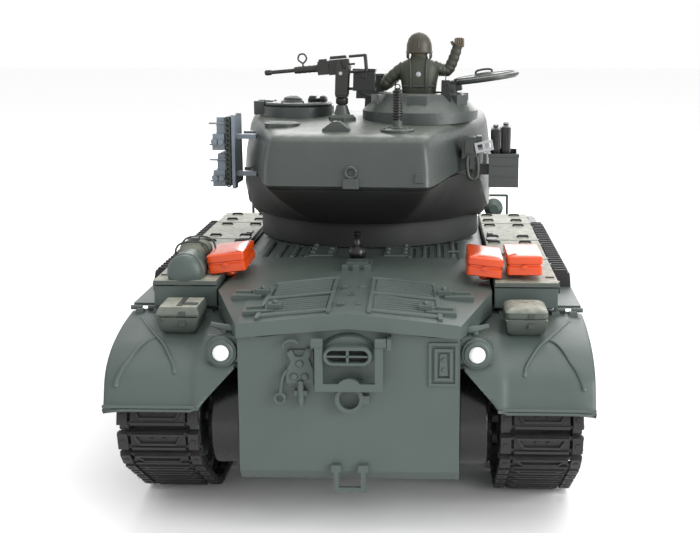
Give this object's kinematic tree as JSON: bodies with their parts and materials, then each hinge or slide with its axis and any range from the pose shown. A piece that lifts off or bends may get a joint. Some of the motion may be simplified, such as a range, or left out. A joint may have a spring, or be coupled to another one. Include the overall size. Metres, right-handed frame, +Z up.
{
  "type": "rc tank",
  "caption": "Radio-controlled model battle tank with a turning turret, elevating gun, sprung road wheels, opening hatches and a crew figure.",
  "frame": {"origin": "centre of the bounding box at ground level, under the tracks", "axes": "+Z up, +Y towards the gun's muzzle and the hull's nose, +X to the vehicle's right"},
  "size_m": [0.222, 0.534, 0.2266],
  "materials": {
    "hull_plastic": "moulded matt grey-green",
    "fitting_plastic": "moulded matt grey-green fittings",
    "turret_plastic": "matt cast-texture grey-olive",
    "barrel_metal": "painted turned aluminium",
    "box_plastic": "matt grey-green",
    "orange_plastic": "glossy orange",
    "track_plastic": "dark brown-black",
    "rack_metal": "dull steel paint",
    "lens_plastic": "clear to white lens",
    "drive_plastic": "glossy black",
    "wheel_plastic": "matt dark green-grey",
    "arm_plastic": "matt dark plastic",
    "mg_plastic": "matt gunmetal olive",
    "figure_plastic": "painted matt olive",
    "cell_wrap": "shrink wrap",
    "board": "solder-resist green",
    "switch_plastic": "black",
    "screw_steel": "zinc plated"
  },
  "bodies": {
    "hull": {"lower_hull": "hull_plastic", "upper_hull": "hull_plastic", "mudguards": "hull_plastic", "fender_boxes": "box_plastic", "fender_track_links": "track_plastic", "orange_boxes": "orange_plastic", "lamp_lenses": "lens_plastic", "hull_fittings": "fitting_plastic", "final_drives": "drive_plastic", "drive_units": "drive_plastic", "battery_pack": "cell_wrap", "electronics": "board", "hull_screws": "screw_steel", "idler_axles": "wheel_plastic", "return_rollers": "wheel_plastic", "track_left": "track_plastic", "track_right": "track_plastic"},
    "battery_door": {"battery_cover": "hull_plastic"},
    "switch": {"power_switch": "switch_plastic"},
    "gun_crutch": {"travel_lock": "fitting_plastic"},
    "sprocket_left": {"sprocket_left": "wheel_plastic"},
    "sprocket_right": {"sprocket_right": "wheel_plastic"},
    "idler_left": {"idler_left": "wheel_plastic"},
    "arm_left_1": {"suspension_arm_left_1": "arm_plastic"},
    "wheel_left_1": {"road_wheel_left_1": "wheel_plastic"},
    "arm_left_2": {"suspension_arm_left_2": "arm_plastic"},
    "wheel_left_2": {"road_wheel_left_2": "wheel_plastic"},
    "arm_left_3": {"suspension_arm_left_3": "arm_plastic"},
    "wheel_left_3": {"road_wheel_left_3": "wheel_plastic"},
    "arm_left_4": {"suspension_arm_left_4": "arm_plastic"},
    "wheel_left_4": {"road_wheel_left_4": "wheel_plastic"},
    "arm_left_5": {"suspension_arm_left_5": "arm_plastic"},
    "wheel_left_5": {"road_wheel_left_5": "wheel_plastic"},
    "arm_left_6": {"suspension_arm_left_6": "arm_plastic"},
    "wheel_left_6": {"road_wheel_left_6": "wheel_plastic"},
    "idler_right": {"idler_right": "wheel_plastic"},
    "arm_right_1": {"suspension_arm_right_1": "arm_plastic"},
    "wheel_right_1": {"road_wheel_right_1": "wheel_plastic"},
    "arm_right_2": {"suspension_arm_right_2": "arm_plastic"},
    "wheel_right_2": {"road_wheel_right_2": "wheel_plastic"},
    "arm_right_3": {"suspension_arm_right_3": "arm_plastic"},
    "wheel_right_3": {"road_wheel_right_3": "wheel_plastic"},
    "arm_right_4": {"suspension_arm_right_4": "arm_plastic"},
    "wheel_right_4": {"road_wheel_right_4": "wheel_plastic"},
    "arm_right_5": {"suspension_arm_right_5": "arm_plastic"},
    "wheel_right_5": {"road_wheel_right_5": "wheel_plastic"},
    "arm_right_6": {"suspension_arm_right_6": "arm_plastic"},
    "wheel_right_6": {"road_wheel_right_6": "wheel_plastic"},
    "turret": {"turret_shell": "turret_plastic", "turret_fittings": "fitting_plastic", "turret_track_rack": "rack_metal", "elevation_unit": "drive_plastic", "hatch_rings": "fitting_plastic"},
    "gun": {"gun_mount": "turret_plastic", "gun_barrel": "barrel_metal"},
    "commander_hatch": {"commander_hatch": "fitting_plastic"},
    "loader_hatch": {"loader_hatch": "fitting_plastic"},
    "mg_mount": {"mg_yoke": "mg_plastic"},
    "mg": {"machine_gun": "mg_plastic"},
    "crewman": {"figure": "figure_plastic"}
  },
  "joints": [
    {"name": "sprocket_left_spin", "type": "hinge", "parent": "hull", "child": "sprocket_left", "pos_m": [-0.0873, -0.2346, 0.05], "axis": [-1, 0, 0], "continuous": true},
    {"name": "sprocket_right_spin", "type": "hinge", "parent": "hull", "child": "sprocket_right", "pos_m": [0.0873, -0.2346, 0.05], "axis": [-1, 0, 0], "continuous": true},
    {"name": "idler_left_spin", "type": "hinge", "parent": "hull", "child": "idler_left", "pos_m": [-0.0873, 0.094, 0.0445], "axis": [-1, 0, 0], "continuous": true},
    {"name": "arm_left_1_swing", "type": "hinge", "parent": "hull", "child": "arm_left_1", "pos_m": [-0.0873, -0.166, 0.034], "axis": [-1, 0, 0], "range_deg": [0, 12], "stiffness_Nm_per_rad": 0.12, "springref_deg": -20.05},
    {"name": "wheel_left_1_spin", "type": "hinge", "parent": "arm_left_1", "child": "wheel_left_1", "pos_m": [-0.0873, -0.188, 0.0253], "axis": [-1, 0, 0], "continuous": true},
    {"name": "arm_left_2_swing", "type": "hinge", "parent": "hull", "child": "arm_left_2", "pos_m": [-0.0873, -0.118, 0.034], "axis": [-1, 0, 0], "range_deg": [0, 12], "stiffness_Nm_per_rad": 0.12, "springref_deg": -20.05},
    {"name": "wheel_left_2_spin", "type": "hinge", "parent": "arm_left_2", "child": "wheel_left_2", "pos_m": [-0.0873, -0.14, 0.0253], "axis": [-1, 0, 0], "continuous": true},
    {"name": "arm_left_3_swing", "type": "hinge", "parent": "hull", "child": "arm_left_3", "pos_m": [-0.0873, -0.07, 0.034], "axis": [-1, 0, 0], "range_deg": [0, 12], "stiffness_Nm_per_rad": 0.12, "springref_deg": -20.05},
    {"name": "wheel_left_3_spin", "type": "hinge", "parent": "arm_left_3", "child": "wheel_left_3", "pos_m": [-0.0873, -0.092, 0.0253], "axis": [-1, 0, 0], "continuous": true},
    {"name": "arm_left_4_swing", "type": "hinge", "parent": "hull", "child": "arm_left_4", "pos_m": [-0.0873, -0.022, 0.034], "axis": [-1, 0, 0], "range_deg": [0, 12], "stiffness_Nm_per_rad": 0.12, "springref_deg": -20.05},
    {"name": "wheel_left_4_spin", "type": "hinge", "parent": "arm_left_4", "child": "wheel_left_4", "pos_m": [-0.0873, -0.044, 0.0253], "axis": [-1, 0, 0], "continuous": true},
    {"name": "arm_left_5_swing", "type": "hinge", "parent": "hull", "child": "arm_left_5", "pos_m": [-0.0873, 0.026, 0.034], "axis": [-1, 0, 0], "range_deg": [0, 12], "stiffness_Nm_per_rad": 0.12, "springref_deg": -20.05},
    {"name": "wheel_left_5_spin", "type": "hinge", "parent": "arm_left_5", "child": "wheel_left_5", "pos_m": [-0.0873, 0.004, 0.0253], "axis": [-1, 0, 0], "continuous": true},
    {"name": "arm_left_6_swing", "type": "hinge", "parent": "hull", "child": "arm_left_6", "pos_m": [-0.0873, 0.074, 0.034], "axis": [-1, 0, 0], "range_deg": [0, 12], "stiffness_Nm_per_rad": 0.12, "springref_deg": -20.05},
    {"name": "wheel_left_6_spin", "type": "hinge", "parent": "arm_left_6", "child": "wheel_left_6", "pos_m": [-0.0873, 0.052, 0.0253], "axis": [-1, 0, 0], "continuous": true},
    {"name": "idler_right_spin", "type": "hinge", "parent": "hull", "child": "idler_right", "pos_m": [0.0873, 0.094, 0.0445], "axis": [-1, 0, 0], "continuous": true},
    {"name": "arm_right_1_swing", "type": "hinge", "parent": "hull", "child": "arm_right_1", "pos_m": [0.0873, -0.166, 0.034], "axis": [-1, 0, 0], "range_deg": [0, 12], "stiffness_Nm_per_rad": 0.12, "springref_deg": -20.05},
    {"name": "wheel_right_1_spin", "type": "hinge", "parent": "arm_right_1", "child": "wheel_right_1", "pos_m": [0.0873, -0.188, 0.0253], "axis": [-1, 0, 0], "continuous": true},
    {"name": "arm_right_2_swing", "type": "hinge", "parent": "hull", "child": "arm_right_2", "pos_m": [0.0873, -0.118, 0.034], "axis": [-1, 0, 0], "range_deg": [0, 12], "stiffness_Nm_per_rad": 0.12, "springref_deg": -20.05},
    {"name": "wheel_right_2_spin", "type": "hinge", "parent": "arm_right_2", "child": "wheel_right_2", "pos_m": [0.0873, -0.14, 0.0253], "axis": [-1, 0, 0], "continuous": true},
    {"name": "arm_right_3_swing", "type": "hinge", "parent": "hull", "child": "arm_right_3", "pos_m": [0.0873, -0.07, 0.034], "axis": [-1, 0, 0], "range_deg": [0, 12], "stiffness_Nm_per_rad": 0.12, "springref_deg": -20.05},
    {"name": "wheel_right_3_spin", "type": "hinge", "parent": "arm_right_3", "child": "wheel_right_3", "pos_m": [0.0873, -0.092, 0.0253], "axis": [-1, 0, 0], "continuous": true},
    {"name": "arm_right_4_swing", "type": "hinge", "parent": "hull", "child": "arm_right_4", "pos_m": [0.0873, -0.022, 0.034], "axis": [-1, 0, 0], "range_deg": [0, 12], "stiffness_Nm_per_rad": 0.12, "springref_deg": -20.05},
    {"name": "wheel_right_4_spin", "type": "hinge", "parent": "arm_right_4", "child": "wheel_right_4", "pos_m": [0.0873, -0.044, 0.0253], "axis": [-1, 0, 0], "continuous": true},
    {"name": "arm_right_5_swing", "type": "hinge", "parent": "hull", "child": "arm_right_5", "pos_m": [0.0873, 0.026, 0.034], "axis": [-1, 0, 0], "range_deg": [0, 12], "stiffness_Nm_per_rad": 0.12, "springref_deg": -20.05},
    {"name": "wheel_right_5_spin", "type": "hinge", "parent": "arm_right_5", "child": "wheel_right_5", "pos_m": [0.0873, 0.004, 0.0253], "axis": [-1, 0, 0], "continuous": true},
    {"name": "arm_right_6_swing", "type": "hinge", "parent": "hull", "child": "arm_right_6", "pos_m": [0.0873, 0.074, 0.034], "axis": [-1, 0, 0], "range_deg": [0, 12], "stiffness_Nm_per_rad": 0.12, "springref_deg": -20.05},
    {"name": "wheel_right_6_spin", "type": "hinge", "parent": "arm_right_6", "child": "wheel_right_6", "pos_m": [0.0873, 0.052, 0.0253], "axis": [-1, 0, 0], "continuous": true},
    {"name": "turret_traverse", "type": "hinge", "parent": "hull", "child": "turret", "pos_m": [0, -0.0595, 0.1095], "axis": [0, 0, 1], "range_deg": [-156.8, 163.2]},
    {"name": "gun_elevation", "type": "hinge", "parent": "turret", "child": "gun", "pos_m": [0.00279, -0.00958, 0.15], "axis": [0.9984, -0.0558, 0], "range_deg": [-8, 20]},
    {"name": "commander_hatch_hinge", "type": "hinge", "parent": "turret", "child": "commander_hatch", "pos_m": [0.04807, -0.09904, 0.1961], "axis": [-0.0558, -0.9984, 0], "range_deg": [-6, 32]},
    {"name": "loader_hatch_hinge", "type": "hinge", "parent": "turret", "child": "loader_hatch", "pos_m": [-0.06124, -0.08182, 0.1866], "axis": [-0.0558, -0.9984, 0], "range_deg": [0, 100]},
    {"name": "mg_traverse", "type": "hinge", "parent": "turret", "child": "mg_mount", "pos_m": [-0.01282, -0.10796, 0.187], "axis": [0, 0, 1], "range_deg": [-60, 60]},
    {"name": "mg_elevation", "type": "hinge", "parent": "mg_mount", "child": "mg", "pos_m": [-0.01282, -0.10796, 0.2044], "axis": [0.0558, 0.9984, 0], "range_deg": [-10, 30]},
    {"name": "crewman_lift", "type": "slide", "parent": "turret", "child": "crewman", "axis": [0, 0, 1], "range_m": [0, 0.06]},
    {"name": "gun_crutch_fold", "type": "hinge", "parent": "hull", "child": "gun_crutch", "pos_m": [0.0005, -0.2646, 0.092], "axis": [1, 0, 0], "range_deg": [-150, 0]},
    {"name": "power_switch_slide", "type": "slide", "parent": "hull", "child": "switch", "axis": [0, 1, 0], "range_m": [0, 0.007]},
    {"name": "battery_door_drop", "type": "slide", "parent": "hull", "child": "battery_door", "axis": [0, 0, -1], "range_m": [0, 0.02]}
  ],
  "couplings": [
    {"joint": "idler_left_spin", "follows": "sprocket_left_spin", "ratio": 1.2595},
    {"joint": "wheel_left_1_spin", "follows": "sprocket_left_spin", "ratio": 1.1366},
    {"joint": "wheel_left_2_spin", "follows": "sprocket_left_spin", "ratio": 1.1366},
    {"joint": "wheel_left_3_spin", "follows": "sprocket_left_spin", "ratio": 1.1366},
    {"joint": "wheel_left_4_spin", "follows": "sprocket_left_spin", "ratio": 1.1366},
    {"joint": "wheel_left_5_spin", "follows": "sprocket_left_spin", "ratio": 1.1366},
    {"joint": "wheel_left_6_spin", "follows": "sprocket_left_spin", "ratio": 1.1366},
    {"joint": "idler_right_spin", "follows": "sprocket_right_spin", "ratio": 1.2595},
    {"joint": "wheel_right_1_spin", "follows": "sprocket_right_spin", "ratio": 1.1366},
    {"joint": "wheel_right_2_spin", "follows": "sprocket_right_spin", "ratio": 1.1366},
    {"joint": "wheel_right_3_spin", "follows": "sprocket_right_spin", "ratio": 1.1366},
    {"joint": "wheel_right_4_spin", "follows": "sprocket_right_spin", "ratio": 1.1366},
    {"joint": "wheel_right_5_spin", "follows": "sprocket_right_spin", "ratio": 1.1366},
    {"joint": "wheel_right_6_spin", "follows": "sprocket_right_spin", "ratio": 1.1366}
  ]
}
